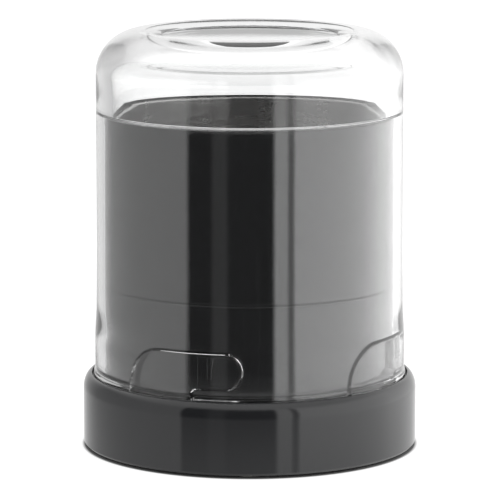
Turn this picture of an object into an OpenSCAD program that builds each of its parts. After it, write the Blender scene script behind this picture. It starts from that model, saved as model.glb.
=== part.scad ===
// Compact electric blade grinder with a clear twist-lock cover.
// A universal motor stands under a steel cup; turning the cover works the safety switch.
// Azimuths are in degrees from the front (-Y) towards +X.

/* [Overall] */
// Outer diameter of the base skirt
base_d = 100; // [96:1:130]
// Height of the cup rim above the table
rim_z = 100; // [83:0.1:125]
// Height of the clear dome above the cup rim
dome_h = 24.9; // [20:0.1:40]

/* [Base] */
// Height of the shoulder that the cover sinks into
base_top = 21.9; // [19:0.1:27]
// Wall of the base skirt
skirt_t = 2.2; // [1.6:0.1:3]
// Radial step from the outside of the skirt to the body
base_step = 6.6; // [6:0.1:9]
// Radial width of the rounded shoulder
shoulder_w = 2.55; // [2:0.05:3]
// Height of the rounded shoulder
shoulder_h = 4.6; // [3:0.1:6]
// Thickness of the channel floor under the cover
channel_t = 2; // [1.6:0.1:3]
// Thickness of the bottom plate
plate_t = 2.2; // [1.8:0.1:3]
// Height that the rubber feet lift the base
foot_h = 0.8; // [0.5:0.1:2]
// Radius of a rubber foot
foot_r = 5; // [3:0.1:6]

/* [Body] */
// How far the seam lies above the middle between the pockets and the cup's floor
seam_shift = 0.3; // [-1:0.1:1]
// Wall of the body tube
body_t = 2.4; // [1.8:0.1:2.8]
// Inward draft of the body from the seam to the rim
body_draft = 0.3; // [0:0.05:0.6]
// Height of the chamfer round the top of the body
rim_chamfer = 1.4; // [0.6:0.1:2]
// Thickness of the cup housing's floor
floor_t = 2.4; // [1.8:0.1:3]

/* [Grinding cup] */
// Wall of the steel cup
liner_t = 0.5; // [0.4:0.1:1]
// Radial thickness of the body and cup together at the rim
rim_t = 2.6; // [2.4:0.1:4]
// Depth of the cup
cup_depth = 34; // [28:0.5:41]
// Inside corner radius of the cup
cup_fillet = 6; // [4:0.5:10]
// Depth of the cup's rolled lip below the rim
lip_sink = 0.5; // [0.3:0.1:0.8]
// Radius of the roll from the cup's wall to its lip
lip_roll = 1; // [0.8:0.1:1.2]

/* [Cover] */
// Wall of the dome and of the cover above the ledge
dome_t = 5.1; // [4.2:0.1:6.5]
// Wall of the cover's skirt round the body
cover_t = 2.35; // [1.8:0.05:2.8]
// Extra wall where the bayonet pockets lie
pocket_band = 0.4; // [0.2:0.05:0.6]
// Outward flare at the cover's bottom edge
lip_flare = 0.7; // [0.3:0.1:0.9]
// Radius of the dome's shoulder
dome_r = 12.9; // [10:0.1:16]
// Radius of the round recess in the top
recess_r = 29.8; // [20:0.1:31]
// Depth of the round recess in the top
recess_depth = 2; // [1:0.1:2.5]

/* [Bayonet] */
// Number of pockets and lugs
lug_count = 4; // [2:1:4]
// Angle that the cover turns from locked to open
turn_angle = 19; // [16:1:20]
// Azimuth of the first lug's square end
lug_az = -19.5; // [-21:0.5:-18]
// Height of a lug
lug_h = 9; // [7:0.1:10]
// Height of a pocket above the cover's bottom edge
pocket_h = 14; // [13:0.1:16]
// Thickness of the finger under a lug
finger_t = 3.3; // [2.6:0.1:3.6]
// Gap between the lug and the pocket round it
lug_gap = 0.7; // [0.5:0.1:1]

/* [Motor] */
// Diameter of the motor shaft
shaft_d = 6; // [5:0.1:7.2]
// Radius of the rotor
rotor_r = 14.1; // [12:0.1:15]
// Air gap between rotor and stator
air_gap = 0.5; // [0.4:0.1:0.8]
// Radius that the stator's corners stay inside
stator_r = 31; // [28:0.5:31.5]
// Width of the stator across its poles
stator_w = 58; // [56:1:60]
// Depth of the stator
stator_d = 48; // [44:1:50]
// Radius of the commutator
comm_r = 9; // [7:0.1:10]
// Height of the commutator
comm_h = 8; // [6.5:0.5:10]
// Height of the cooling fan
fan_h = 5; // [4:0.5:6]
// Outer radius of the bearings
bearing_r = 5.5; // [5:0.1:6.5]
// Gap between the blade's tips and the cup's wall
blade_gap = 11; // [6:0.5:16]
// Width of the blade
blade_w = 12; // [9:0.5:14]
// Thickness of the blade
blade_t = 1.4; // [1:0.1:2]

/* [Safety switch] */
// Azimuth of the switch
switch_az = 60; // [45:1:75]
// Height of the ring that the cover turns
ring_h = 2.3; // [1.8:0.1:3]
// Travel of the plunger while the cover turns
plunger_travel = 1.6; // [1:0.1:1.8]
// Radius of the plunger
plunger_r = 1.5; // [1.2:0.1:1.6]

/* [Hidden] */
$fn = 128;
tiny = 0.01;
cover_gap = 0.3;       // cover to body, all round
seat_gap = 0.2;        // between stacked pieces that move apart
run_gap = 0.05;        // shaft in a bearing
press_gap = 0.02;      // a piece pressed on or into another
fit_gap = 0.2;         // a housed piece in its pocket

// Radii from the outside in
base_r = base_d / 2;
skirt_in = base_r - skirt_t;
shoulder_r = base_r - shoulder_w;
body_r = base_r - base_step;
bay_r = body_r - body_t;
body_top_r = body_r - body_draft;
cup_r = body_top_r - rim_t;
liner_r = cup_r + liner_t;
cup_bore = liner_r + fit_gap;
seat_r = liner_r + 0.95;
cover_in = body_r + cover_gap;
cover_in_top = body_top_r + cover_gap;
cover_r = cover_in_top + cover_t;
band_r = cover_in + cover_t + pocket_band;
lip_r = band_r + lip_flare;
pocket_r = band_r - 1.05;
lug_r = pocket_r - lug_gap;
dome_in = cover_r - dome_t;

// Heights from the table up
skirt_z = foot_h;
plate_z = foot_h;
bay_z = plate_z + plate_t;
cover_z = base_top - 0.4;
ring_z = cover_z - seat_gap - ring_h;
channel_z = ring_z - cover_gap;
under_z = channel_z - channel_t;
pocket_z = cover_z + pocket_h;
finger_z = cover_z + finger_t;
lug_z = finger_z + lug_gap;
cup_z = rim_z - cup_depth;
lip_z = rim_z - lip_sink;
seat_z = lip_z - liner_t - fit_gap - 0.1;
floor_z = cup_z - liner_t - fit_gap - floor_t;
seam_z = (pocket_z + floor_z) / 2 + seam_shift;
ledge_z = rim_z + 0.7;
top_z = rim_z + dome_h;
dome_z = top_z - dome_r;

// Motor heights, from the bottom bearing to the fan
bolt_r = 1.6;
bolt_y = stator_d / 2 - 3;
bracket_t = 2.5;
column_r = 3.6;
fan_r = bolt_y - column_r - 0.9;
hub_r = bearing_r + 2.5;
lower_z = bay_z + 4.5;
bearing_h = 5;
comm_z = lower_z + bracket_t + 3.2;
end_turn_h = 4.2;
core_z = comm_z + comm_h + 1 + end_turn_h;
mount_h = 2.4;
upper_z = floor_z - mount_h - bracket_t;
fan_z = upper_z - 1 - fan_h;
core_top = fan_z - 0.8 - end_turn_h;
core_h = core_top - core_z;
brush_z = comm_z + comm_h / 2;
holder_h = 7.8;
shaft_r = shaft_d / 2;
blade_z = cup_z + 4.2;
nut_h = 5.5;
mount_pcd_r = 26;
mount_r = 4;
blade_r = cup_r - blade_gap;

// Screw and boss sizes
boss_r = 3.5;
boss_at = bay_r - boss_r - 2.7;
shelf_t = 2;
shelf_r = boss_at + boss_r + 0.3;
tab_t = 2.5;
tab_z = channel_z;
screw_r = 1.5;
head_r = 2.8;
head_h = 1.8;
plate_screw_at = skirt_in - 3.6;
foot_at = skirt_in - foot_r - 2.8;
inlet_r = 3.2;
inlet_z = foot_h + 8.6;
clamp_at = skirt_in - 9;
clamp_x = 6.5;

// Bayonet angles and the cam that follows them
pocket_end_r = (pocket_z - finger_z) / 2;
pocket_end_az = lug_az + 10.25;
lug_end_az = lug_az + 10;
mouth_r = pocket_h - 2;
mouth_az = lug_az - 15.6;
finger_az = lug_az - 2.5;
pi_deg = 180 / PI;
cam_r = (body_r + shoulder_r) / 2 - 0.2;
cam_slope = plunger_travel / (cam_r * turn_angle / pi_deg);
plunger_top = channel_z - 2.6;
cam_clear = 0.3;
switch_size = [5.8, 12.8, 6.5];
button_h = 1.2;
plunger_h = plunger_top - bay_z - switch_size[2] - button_h - 0.5;
switch_z = plunger_top - plunger_h - button_h - switch_size[2];
switch_at = cam_r - 1;

// ---- shared shapes ----

// Points of a circular or elliptical arc
function arc(c, rx, rz, a0, a1, n = 12) =
    [for (i = [0:n]) let (a = a0 + (a1 - a0) * i / n) [c[0] + rx * cos(a), c[1] + rz * sin(a)]];

// Points of a smooth S between two points, level in radius at both ends
function ease(p, q, n = 8) =
    [for (i = [0:n]) let (t = i / n) [p[0] + (q[0] - p[0]) * (1 - cos(180 * t)) / 2, p[1] + (q[1] - p[1]) * t]];

// Turns the +X direction to an azimuth
module at_az(a) { rotate([0, 0, a - 90]) children(); }

module ring(r_in, r_out, z0, z1) {
    translate([0, 0, z0]) linear_extrude(z1 - z0) difference() {
        circle(r_out);
        circle(r_in);
    }
}

// Part of a ring between two azimuths
module sector(a0, a1, r_in, r_out, z0, z1) {
    at_az(a0) rotate_extrude(angle = a1 - a0) translate([r_in, z0]) square([r_out - r_in, z1 - z0]);
}

// Arc length round the body at an azimuth
function mm_at(a) = a / pi_deg * pocket_r;

// Outline of arc lengths and heights, laid on the body and pushed outwards about one azimuth
module wrapped(a, r_in, r_out, outline) {
    flat = [for (p = outline) [pocket_r * sin(p[0] / pocket_r * pi_deg - a), p[1]]];
    at_az(a) translate([r_in, 0, 0]) rotate([90, 0, 90]) linear_extrude(r_out - r_in) polygon(flat);
}

// Disc whose axis points outwards at an azimuth
module radial_disc(a, z, r, r_in, r_out) {
    at_az(a) translate([r_in, 0, z]) rotate([0, 90, 0]) cylinder(h = r_out - r_in, r = r);
}

// Copies at even spacing about the vertical axis
module spread(n, first = 0) {
    for (i = [0:n - 1]) at_az(first + 360 * i / n) children();
}

// Pan-head screw pointing up, its head's underside at z = 0
module screw(shank, r = screw_r) {
    difference() {
        union() {
            translate([0, 0, -head_h]) cylinder(h = head_h, r = head_r);
            cylinder(h = shank, r = r);
        }
        translate([0, 0, -head_h - tiny]) for (a = [0, 90])
            rotate([0, 0, a]) translate([-head_r * 0.6, -0.35, 0]) cube([head_r * 1.2, 0.7, 0.9]);
    }
}

// Coil spring along +X from x = 0
module coil(length, r, wire, turns) {
    steps = 14;
    sides = 6;
    rings = turns * steps;
    pts = [for (i = [0:rings], j = [0:sides - 1]) let (a = 360 * i / steps, b = 360 * j / sides, q = r + wire * cos(b))
        [wire + (length - 2 * wire) * i / rings + wire * sin(b), q * cos(a), q * sin(a)]];
    side_faces = [for (i = [0:rings - 1], j = [0:sides - 1]) let (k = (j + 1) % sides)
        [i * sides + j, i * sides + k, (i + 1) * sides + k, (i + 1) * sides + j]];
    caps = [[for (j = [sides - 1:-1:0]) j], [for (j = [0:sides - 1]) rings * sides + j]];
    polyhedron(pts, concat(side_faces, caps), convexity = 10);
}

function unit(v) = v / norm(v);

// Point of a smooth curve that starts at a, leaves towards b, arrives from c and ends at d
function bezier(a, b, c, d, t) =
    pow(1 - t, 3) * a + 3 * t * pow(1 - t, 2) * b + 3 * t * t * (1 - t) * c + pow(t, 3) * d;

// Round wire along such a curve
module wire(a, b, c, d, r = 0.6) {
    rings = 12;
    sides = 8;
    path = [for (i = [0:rings]) bezier(a, b, c, d, i / rings)];
    along = [for (i = [0:rings]) unit(path[min(i + 1, rings)] - path[max(i - 1, 0)])];
    pts = [for (i = [0:rings], j = [0:sides - 1]) let (side = unit(cross(along[i], [0.1, 0.2, 1])),
        up = cross(side, along[i]), q = 360 * j / sides) path[i] + r * (cos(q) * side + sin(q) * up)];
    side_faces = [for (i = [0:rings - 1], j = [0:sides - 1]) let (k = (j + 1) % sides)
        [i * sides + k, i * sides + j, (i + 1) * sides + j, (i + 1) * sides + k]];
    caps = [[for (j = [0:sides - 1]) j], [for (j = [sides - 1:-1:0]) rings * sides + j]];
    polyhedron(pts, concat(side_faces, caps), convexity = 6);
}

// ---- housings ----

// Bayonet lug, round at the end that leads into the pocket, with a stiffening rib
module lug() {
    start = mm_at(lug_az);
    end = mm_at(lug_end_az);
    intersection() {
        ring(body_r - 1, lug_r, lug_z - 1, lug_z + lug_h + 1);
        wrapped((lug_az + lug_end_az) / 2, body_r - 4, base_r, concat(
            [[start, lug_z + lug_h], [start, lug_z]],
            arc([end, lug_z + lug_h / 2], lug_h / 2, lug_h / 2, -90, 90, 14)));
    }
    at_az(lug_az + 4.6) translate([body_r - 1, -0.6, lug_z + 2.5]) cube([lug_r + 0.3 - body_r + 1, 1.2, lug_h - 2.5]);
}

module base_housing() color([0.13, 0.13, 0.14]) {
    edge = 0.6;
    difference() {
        union() {
            rotate_extrude() polygon(concat(
                [[base_r - edge, skirt_z], [base_r, skirt_z + edge]],
                arc([shoulder_r, base_top - shoulder_h], shoulder_w, shoulder_h, 0, 90, 14),
                [[shoulder_r, channel_z], [body_r, channel_z], [body_r, seam_z - 0.4],
                 [body_r - 0.4, seam_z], [bay_r, seam_z], [bay_r, under_z], [skirt_in, under_z],
                 [skirt_in, skirt_z]]));
            spread(lug_count) rotate([0, 0, 90]) lug();
            spread(3) translate([plate_screw_at, 0, bay_z]) cylinder(h = under_z - bay_z + 0.5, r = 3);
            for (a = [30, 150, 270]) at_az(a) {
                translate([boss_at, 0, tab_z]) cylinder(h = tab_t, r = boss_r);
                translate([boss_at, -boss_r, tab_z]) cube([bay_r - boss_at + 0.6, 2 * boss_r, tab_t]);
            }
            for (s = [-1, 1]) at_az(switch_az)
                translate([switch_at - 2.5, s * (switch_size[1] / 2 + fit_gap + 0.8) - 0.8, switch_z])
                    cube([5, 1.6, under_z - switch_z + 0.5]);
        }
        spread(3) translate([plate_screw_at, 0, bay_z - 1]) cylinder(h = 9, r = screw_r + press_gap);
        for (a = [30, 150, 270]) at_az(a) translate([boss_at, 0, tab_z - 1]) cylinder(h = tab_t + 2, r = screw_r + fit_gap);
        sector(switch_az - turn_angle - 6, switch_az + turn_angle + 6, cam_r - 1.7, cam_r + 1.7, under_z - 1, channel_z + 1);
        radial_disc(180, inlet_z, inlet_r + 1.5, skirt_in - 2, base_r + 1);
        radial_disc(180, inlet_z, inlet_r + 2.8, base_r - 0.9, base_r + 1);
    }
}

// Upper body tube: rim, shelf that the carrier sits on, and spigot into the base housing
module cup_housing() color([0.13, 0.13, 0.14]) {
    spigot_r = bay_r - 0.1;
    spigot_in = spigot_r - 1.8;
    rotate_extrude() polygon([
        [body_r - 0.4, seam_z], [body_r, seam_z + 0.4], [body_top_r, rim_z - rim_chamfer],
        [body_top_r - 0.45, rim_z], [seat_r, rim_z], [seat_r, seat_z], [cup_bore, seat_z],
        [cup_bore, floor_z], [shelf_r, floor_z], [shelf_r, floor_z - shelf_t], [cup_bore, floor_z - shelf_t - 0.5],
        [cup_bore, seam_z + 2], [spigot_in, seam_z + 1], [spigot_in, seam_z - 4],
        [spigot_r, seam_z - 4], [spigot_r, seam_z]]);
}

// Disc under the cup that the motor hangs from; screws pull it and the cup housing down on the base
module motor_carrier() color([0.2, 0.2, 0.21]) {
    difference() {
        union() {
            ring(6.6, cup_bore - fit_gap, floor_z, floor_z + floor_t);
            for (a = [30, 150, 270]) at_az(a)
                translate([boss_at, 0, tab_z + tab_t]) cylinder(h = floor_z + 1 - tab_z - tab_t, r = boss_r);
            spread(3, 90) translate([mount_pcd_r, 0, floor_z - 0.4]) cylinder(h = 0.9, r = mount_r);
        }
        for (a = [30, 150, 270]) at_az(a)
            translate([boss_at, 0, tab_z]) cylinder(h = tab_t + 14, r = screw_r + press_gap);
        spread(3, 90) translate([mount_pcd_r, 0, floor_z - 1]) cylinder(h = 2.6, r = screw_r + press_gap);
    }
}

module bottom_plate() color([0.16, 0.16, 0.17]) {
    difference() {
        ring(0, skirt_in - fit_gap, plate_z, plate_z + plate_t);
        spread(4, 45) translate([foot_at, 0, plate_z - 1]) cylinder(h = 1.9, r = foot_r + press_gap);
        spread(3) translate([plate_screw_at, 0, plate_z - 1]) {
            cylinder(h = plate_t + 2, r = screw_r + fit_gap);
            cylinder(h = 1 + head_h - 0.6, r = head_r + fit_gap);
        }
        for (i = [-5:5]) translate([i * 4 - 0.8, -9, plate_z - 1]) cube([1.6, 18, plate_t + 2]);
    }
    for (s = [-1, 1]) translate([s * clamp_x, clamp_at, bay_z - 0.5]) difference() {
        cylinder(h = 3.2, r = 2.6);
        translate([0, 0, 0.4]) cylinder(h = 4, r = 1.1 + press_gap);
    }
}

module rubber_feet() color([0.08, 0.08, 0.08])
    spread(4, 45) translate([foot_at, 0, 0]) rotate_extrude()
        polygon([[0, 0], [foot_r - 0.5, 0], [foot_r - 0.1, 0.4], [foot_r, foot_h + 0.9], [0, foot_h + 0.9]]);

module plate_screws() color([0.6, 0.6, 0.62])
    spread(3) translate([plate_screw_at, 0, plate_z + head_h - 0.6]) screw(7);

module body_screws() color([0.6, 0.6, 0.62])
    for (a = [30, 150, 270]) at_az(a) translate([boss_at, 0, tab_z]) screw(12);

module cord_inlet_bush() color([0.1, 0.1, 0.1])
    difference() {
        union() {
            radial_disc(180, inlet_z, inlet_r + 1.5 - press_gap, skirt_in - 3, base_r - 0.6);
            radial_disc(180, inlet_z, inlet_r + 2.8 - press_gap, base_r - 0.9, base_r - 0.2);
        }
        radial_disc(180, inlet_z, inlet_r, skirt_in - 4, base_r + 1);
        ring(base_r - 0.25, base_r + 5, 0, base_top);
    }

module cord_clamp() color([0.75, 0.75, 0.72])
    translate([0, clamp_at, bay_z + 2.7]) difference() {
        translate([-clamp_x - 3, -3, 0]) cube([2 * clamp_x + 6, 6, 2.4]);
        for (s = [-1, 1]) translate([s * clamp_x, 0, -1]) cylinder(h = 5, r = 1.1 + fit_gap);
        translate([0, 4, -2.2]) rotate([90, 0, 0]) cylinder(h = 8, r = inlet_r);
    }

module clamp_screws() color([0.6, 0.6, 0.62])
    for (s = [-1, 1]) translate([s * clamp_x, clamp_at, bay_z + 5.1]) rotate([180, 0, 0]) screw(4.6, 1.1);

// ---- cover and safety switch ----

// Hollow in the cover's wall that takes one lug: an open mouth, then a blind lane over the finger
module pocket() {
    mouth = mm_at(mouth_az);
    tip = mm_at(finger_az) + finger_t / 2;
    end = mm_at(pocket_end_az);
    intersection() {
        ring(body_r - 2, pocket_r, cover_z - 1, pocket_z + 1);
        wrapped(mouth_az + 18, body_r - 6, base_r, concat(
            [[tip, cover_z - 0.5], [mouth - mouth_r, cover_z - 0.5]],
            arc([mouth, pocket_z - mouth_r], mouth_r, mouth_r, 180, 90, 12),
            arc([end, finger_z + pocket_end_r], pocket_end_r, pocket_end_r, 90, -90, 16),
            arc([tip, cover_z + finger_t / 2], finger_t / 2, finger_t / 2, 90, 270, 10)));
    }
}

module clear_cover() color([0.9, 0.93, 0.95, 0.35]) {
    key_slot = 4.2;
    recess_z = top_z - recess_depth;
    ceiling = dome_z + dome_r - dome_t;
    difference() {
        rotate_extrude() polygon(concat(
            [[cover_in, cover_z], [lip_r - 0.3, cover_z], [lip_r, cover_z + 0.3]],
            ease([lip_r, cover_z + 0.8], [band_r, cover_z + 2.1], 6),
            ease([band_r, pocket_z - 3], [cover_r + 0.2, pocket_z + 8], 10),
            arc([cover_r - dome_r, dome_z], dome_r, dome_r, 0, 90, 20),
            ease([recess_r + 0.6, top_z - 0.2], [recess_r - 3, recess_z], 6),
            [[0, recess_z - 0.5], [0, recess_z - dome_t + 1]],
            [[recess_r - 6, recess_z - dome_t + 1.8]],
            arc([cover_r - dome_r, dome_z], dome_r - dome_t, dome_r - dome_t, 90, 0, 14),
            [[dome_in, ledge_z], [cover_in_top, ledge_z]]));
        spread(lug_count) rotate([0, 0, 90]) pocket();
        for (a = [108, 198]) sector(a - key_slot, a + key_slot, body_r - 1, body_r + 2, cover_z - 1, cover_z + 2);
    }
    spread(lug_count) rotate([0, 0, 90]) intersection() {
        radial_disc(lug_az + 4.5, finger_z - 3.05, 3.5, body_r, base_r);
        ring(cover_in, pocket_r, finger_z - 0.5, finger_z + 1);
    }
}

// Ring under the cover: keys drive it, and its cam works the plunger
module start_ring() color([0.2, 0.2, 0.21]) {
    cam_az = switch_az - turn_angle / 2;
    ring(body_r + 0.4, shoulder_r - 0.3, ring_z, ring_z + ring_h);
    for (a = [108, 198]) sector(a - 3.6, a + 3.6, body_r + 0.4, body_r + 1.7, ring_z + ring_h - 0.5, cover_z + 1.6);
    difference() {
        sector(cam_az - turn_angle / 2 - 3.2, cam_az + turn_angle / 2 + 3.2, cam_r - 1.3, cam_r + 1.3,
            plunger_top - 0.5, ring_z + 0.5);
        at_az(cam_az) translate([cam_r, 0, plunger_top + cam_clear + plunger_travel / 2])
            rotate([-atan(cam_slope), 0, 0]) translate([-5, -20, -8]) cube([10, 40, 8]);
    }
}

module start_plunger() color([0.85, 0.3, 0.15])
    at_az(switch_az) translate([cam_r, 0, plunger_top - plunger_h]) rotate_extrude()
        polygon(concat([[0, 0], [plunger_r - 0.2, 0], [plunger_r, 0.3]],
            arc([0, plunger_h - 0.8], plunger_r, 0.8, 0, 90, 8)));

module switch_case() color([0.12, 0.12, 0.13])
    at_az(switch_az) translate([switch_at, 0, switch_z]) difference() {
        translate([-switch_size[0] / 2, -switch_size[1] / 2, 0]) cube(switch_size);
        translate([-1.7, -0.8, switch_size[2] - 2.2]) cube([3.4, 1.6, 3]);
    }

module switch_button() color([0.8, 0.1, 0.1])
    at_az(switch_az) translate([switch_at - 1.5, -0.6, switch_z + switch_size[2] - 1.9]) cube([3, 1.2, button_h + 1.8]);

// ---- cup and blade ----

module grinding_cup() color([0.75, 0.74, 0.72]) {
    r_in = cup_fillet;
    r_out = cup_fillet + liner_t;
    rotate_extrude() polygon(concat(
        [[6.4, cup_z]],
        arc([cup_r - r_in, cup_z + r_in], r_in, r_in, -90, 0, 12),
        arc([cup_r + lip_roll, lip_z - lip_roll], lip_roll, lip_roll, 180, 90, 8),
        [[seat_r - 0.15, lip_z], [seat_r - 0.15, lip_z - liner_t]],
        arc([cup_r + lip_roll, lip_z - lip_roll], lip_roll - liner_t, lip_roll - liner_t, 90, 180, 6),
        arc([cup_r - r_in, cup_z + r_in], r_out, r_out, 0, -90, 12),
        [[6.4, cup_z - liner_t]]));
}

module shaft_seal() color([0.55, 0.2, 0.15])
    rotate_extrude() polygon([[4.6, floor_z + 0.2], [6.3, floor_z + 0.2], [6.3, cup_z + 0.3], [7.6, cup_z + 0.3],
        [7.2, cup_z + 1.3], [4.6, cup_z + 1.6]]);

// One wing: a bar bent up or down near its tip, tapered in plan
module wing(bend) {
    knee = blade_r - 8;
    reach = 7.6;
    intersection() {
        rotate([90, 0, 0]) linear_extrude(blade_w + 2, center = true) polygon([[0, 0], [knee, 0],
            [knee + reach * cos(bend), reach * sin(bend)],
            [knee + reach * cos(bend) - blade_t * sin(bend), reach * sin(bend) + blade_t * cos(bend)],
            [knee - blade_t * tan(bend / 2), blade_t], [0, blade_t]]);
        translate([0, 0, -8]) linear_extrude(16) polygon([[0, -blade_w / 2], [knee, -blade_w / 2 + 1.6],
            [blade_r - 0.6, -1.2], [blade_r - 0.6, 1], [knee, blade_w / 2 - 3], [0, blade_w / 2]]);
    }
}

module blade() color([0.8, 0.8, 0.82])
    translate([0, 0, blade_z]) difference() {
        union() {
            cylinder(h = blade_t, r = 8);
            wing(24);
            rotate([0, 0, 180]) wing(-14);
        }
        translate([0, 0, -1]) cylinder(h = blade_t + 2, r = shaft_r + press_gap);
    }

module blade_hub() color([0.1, 0.1, 0.1])
    difference() {
        union() {
            ring(0, 4.5, floor_z + 0.4, blade_z);
            ring(0, 7.4, cup_z + 2, blade_z);
        }
        ring(0, shaft_r + press_gap, floor_z, blade_z + 1);
    }

module blade_nut() color([0.82, 0.82, 0.84])
    difference() {
        translate([0, 0, blade_z + blade_t]) union() {
            cylinder(h = 1, r = 5.6);
            cylinder(h = nut_h - 1.6, r = 5, $fn = 6);
            intersection() {
                sphere(nut_h);
                cylinder(h = nut_h, r = 3.8);
            }
        }
        ring(0, shaft_r + press_gap, blade_z, blade_z + blade_t + 3.2);
    }

module drive_shaft() color([0.7, 0.7, 0.72])
    rotate_extrude() polygon([[0, lower_z - 2.2], [shaft_r - 0.4, lower_z - 2.2], [shaft_r, lower_z - 1.8],
        [shaft_r, blade_z + blade_t + 2.6], [shaft_r - 0.4, blade_z + blade_t + 3], [0, blade_z + blade_t + 3]]);

// ---- motor ----

module bearing(z) {
    ring(shaft_r + run_gap, bearing_r, z, z + bearing_h);
}

module upper_bearing() color([0.72, 0.5, 0.25]) bearing(upper_z - 0.2);

module lower_bearing() color([0.72, 0.5, 0.25]) bearing(lower_z - 1.6);

module rotor_core() color([0.5, 0.5, 0.52])
    translate([0, 0, core_z]) linear_extrude(core_h) difference() {
        circle(rotor_r);
        circle(shaft_r + press_gap);
        for (i = [0:11]) rotate(30 * i) {
            translate([rotor_r - 3.1, 0]) circle(1.7);
            translate([rotor_r - 3, -0.5]) square([4, 1]);
        }
    }

module rotor_windings() color([0.72, 0.33, 0.12]) {
    for (z = [core_z - end_turn_h, core_top + 0.2]) rotate_extrude()
        polygon(concat(arc([rotor_r - 4, z + 2], 3.2, 1.95, -90, 90, 8), arc([7, z + 2], 1.6, 1.95, 90, 270, 8)));
    for (i = [0:11]) rotate([0, 0, 30 * i]) translate([rotor_r - 3.1, 0, core_z - 1])
        cylinder(h = core_h + 2, r = 1.5, $fn = 24);
}

module commutator() color([0.78, 0.45, 0.25])
    difference() {
        union() {
            ring(0, comm_r, comm_z, comm_z + comm_h);
            ring(0, comm_r - 2.4, comm_z - 1, comm_z + comm_h + 0.8);
        }
        ring(0, shaft_r + press_gap, comm_z - 2, comm_z + comm_h + 2);
        for (i = [0:23]) rotate([0, 0, 15 * i]) translate([comm_r - 1, -0.2, comm_z - 0.5]) cube([2, 0.4, comm_h + 1]);
    }

module cooling_fan() color([0.85, 0.85, 0.8])
    difference() {
        union() {
            ring(0, 5.5, fan_z - 0.2, fan_z + fan_h);
            ring(0, fan_r, fan_z, fan_z + 1.2);
            for (i = [0:10]) rotate([0, 0, 360 * i / 11]) translate([fan_r - 10, 0, fan_z + 1])
                rotate([0, 0, 18]) cube([9, 1.1, fan_h - 1]);
        }
        ring(0, shaft_r + press_gap, fan_z - 1, fan_z + fan_h + 1);
    }

// Yoke with two pole shoes; the coils sit round the necks
module stator_core() color([0.42, 0.43, 0.45]) {
    bore = rotor_r + air_gap;
    translate([0, 0, core_z]) linear_extrude(core_h) difference() {
        union() {
            difference() {
                intersection() {
                    square([stator_w, stator_d], center = true);
                    circle(stator_r);
                }
                square([stator_w - 9, stator_d - 12], center = true);
            }
            intersection() {
                circle(bore + 3);
                square([4 * bore, 22], center = true);
            }
            square([stator_w - 4, 12], center = true);
        }
        circle(bore);
        for (s = [-1, 1]) translate([0, s * bolt_y]) circle(bolt_r + fit_gap);
    }
}

module field_coils() color([0.75, 0.36, 0.14]) {
    coil_x = rotor_r + air_gap + 3.4;
    coil_w = stator_w / 2 - 4.5 - 0.4 - coil_x;
    for (s = [-1, 1]) difference() {
        translate([s * (coil_x + coil_w / 2), 0, core_z + core_h / 2])
            cube([coil_w, 28, core_h + 2 * end_turn_h - 1], center = true);
        translate([s * (coil_x + coil_w / 2), 0, core_z + core_h / 2]) cube([coil_w + 2, 12.4, core_h + 0.4], center = true);
    }
}

// Strap across the motor with a bearing hub and two columns to the stator
module bracket(z, hub0, hub1, col0, col1) {
    difference() {
        union() {
            translate([-7, -bolt_y - 4, z]) cube([14, 2 * bolt_y + 8, bracket_t]);
            ring(0, hub_r, hub0, hub1);
            for (s = [-1, 1]) translate([0, s * bolt_y, col0]) cylinder(h = col1 - col0, r = column_r);
            children();
        }
        ring(0, bearing_r + press_gap, hub0 - 1, hub1 + 1);
        for (s = [-1, 1]) translate([0, s * bolt_y, col0 - 5]) cylinder(h = col1 - col0 + 10, r = bolt_r + fit_gap);
    }
}

module upper_bracket() color([0.62, 0.63, 0.65])
    difference() {
        bracket(upper_z, upper_z - 0.4, upper_z + 4.6, core_top, upper_z + bracket_t)
            ring(mount_pcd_r - 4.4, mount_pcd_r + 4.4, upper_z, upper_z + bracket_t);
        spread(3, 90) translate([mount_pcd_r, 0, upper_z - 1]) cylinder(h = bracket_t + 2, r = 2.4 + press_gap);
    }

module lower_bracket() color([0.62, 0.63, 0.65])
    bracket(lower_z, lower_z - 1.8, lower_z + 3, lower_z, core_z) {
        translate([-26, -6, lower_z]) cube([52, 12, bracket_t]);
        for (s = [-1, 1]) translate([s * (comm_r + 8.2) - 5, -3, lower_z + bracket_t - 1])
            cube([10, 6, brush_z - holder_h / 2 - lower_z - bracket_t + 1]);
    }

module through_bolts() color([0.6, 0.6, 0.62])
    for (s = [-1, 1]) translate([0, s * bolt_y, lower_z]) screw(upper_z + bracket_t + 1 - lower_z, bolt_r);

// Brass tubes that guide the carbon brushes along X
module brush_holders() color([0.8, 0.62, 0.25])
    for (s = [-1, 1]) difference() {
        translate([s > 0 ? comm_r + 1.2 : -comm_r - 15.2, -3.4, brush_z - holder_h / 2]) cube([14, 6.8, holder_h]);
        translate([s > 0 ? comm_r : -comm_r - 14.4, -2.6, brush_z - holder_h / 2 + 0.8]) cube([14.4, 5.2, holder_h - 1.6]);
    }

module carbon_brushes() color([0.15, 0.15, 0.16])
    for (s = [-1, 1]) intersection() {
        translate([s > 0 ? comm_r - 1 : -comm_r - 8, -2.5, brush_z - 3]) cube([9, 5, 6]);
        ring(comm_r + 0.1, comm_r + 20, brush_z - 4, brush_z + 4);
    }

module brush_springs() color([0.7, 0.7, 0.72])
    for (s = [0, 180]) rotate([0, 0, s]) translate([comm_r + 8.1, 0, brush_z]) coil(6.2, 1.9, 0.22, 6);

module rubber_mounts() color([0.1, 0.1, 0.1])
    spread(3, 90) translate([mount_pcd_r, 0, 0]) difference() {
        union() {
            ring(0, 2.4, upper_z - 0.6, floor_z - 0.4);
            ring(0, mount_r, upper_z + bracket_t, floor_z - 0.4);
            ring(0, mount_r, upper_z - 1.4, upper_z);
        }
        ring(0, screw_r + fit_gap, upper_z - 2, floor_z);
    }

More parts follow.
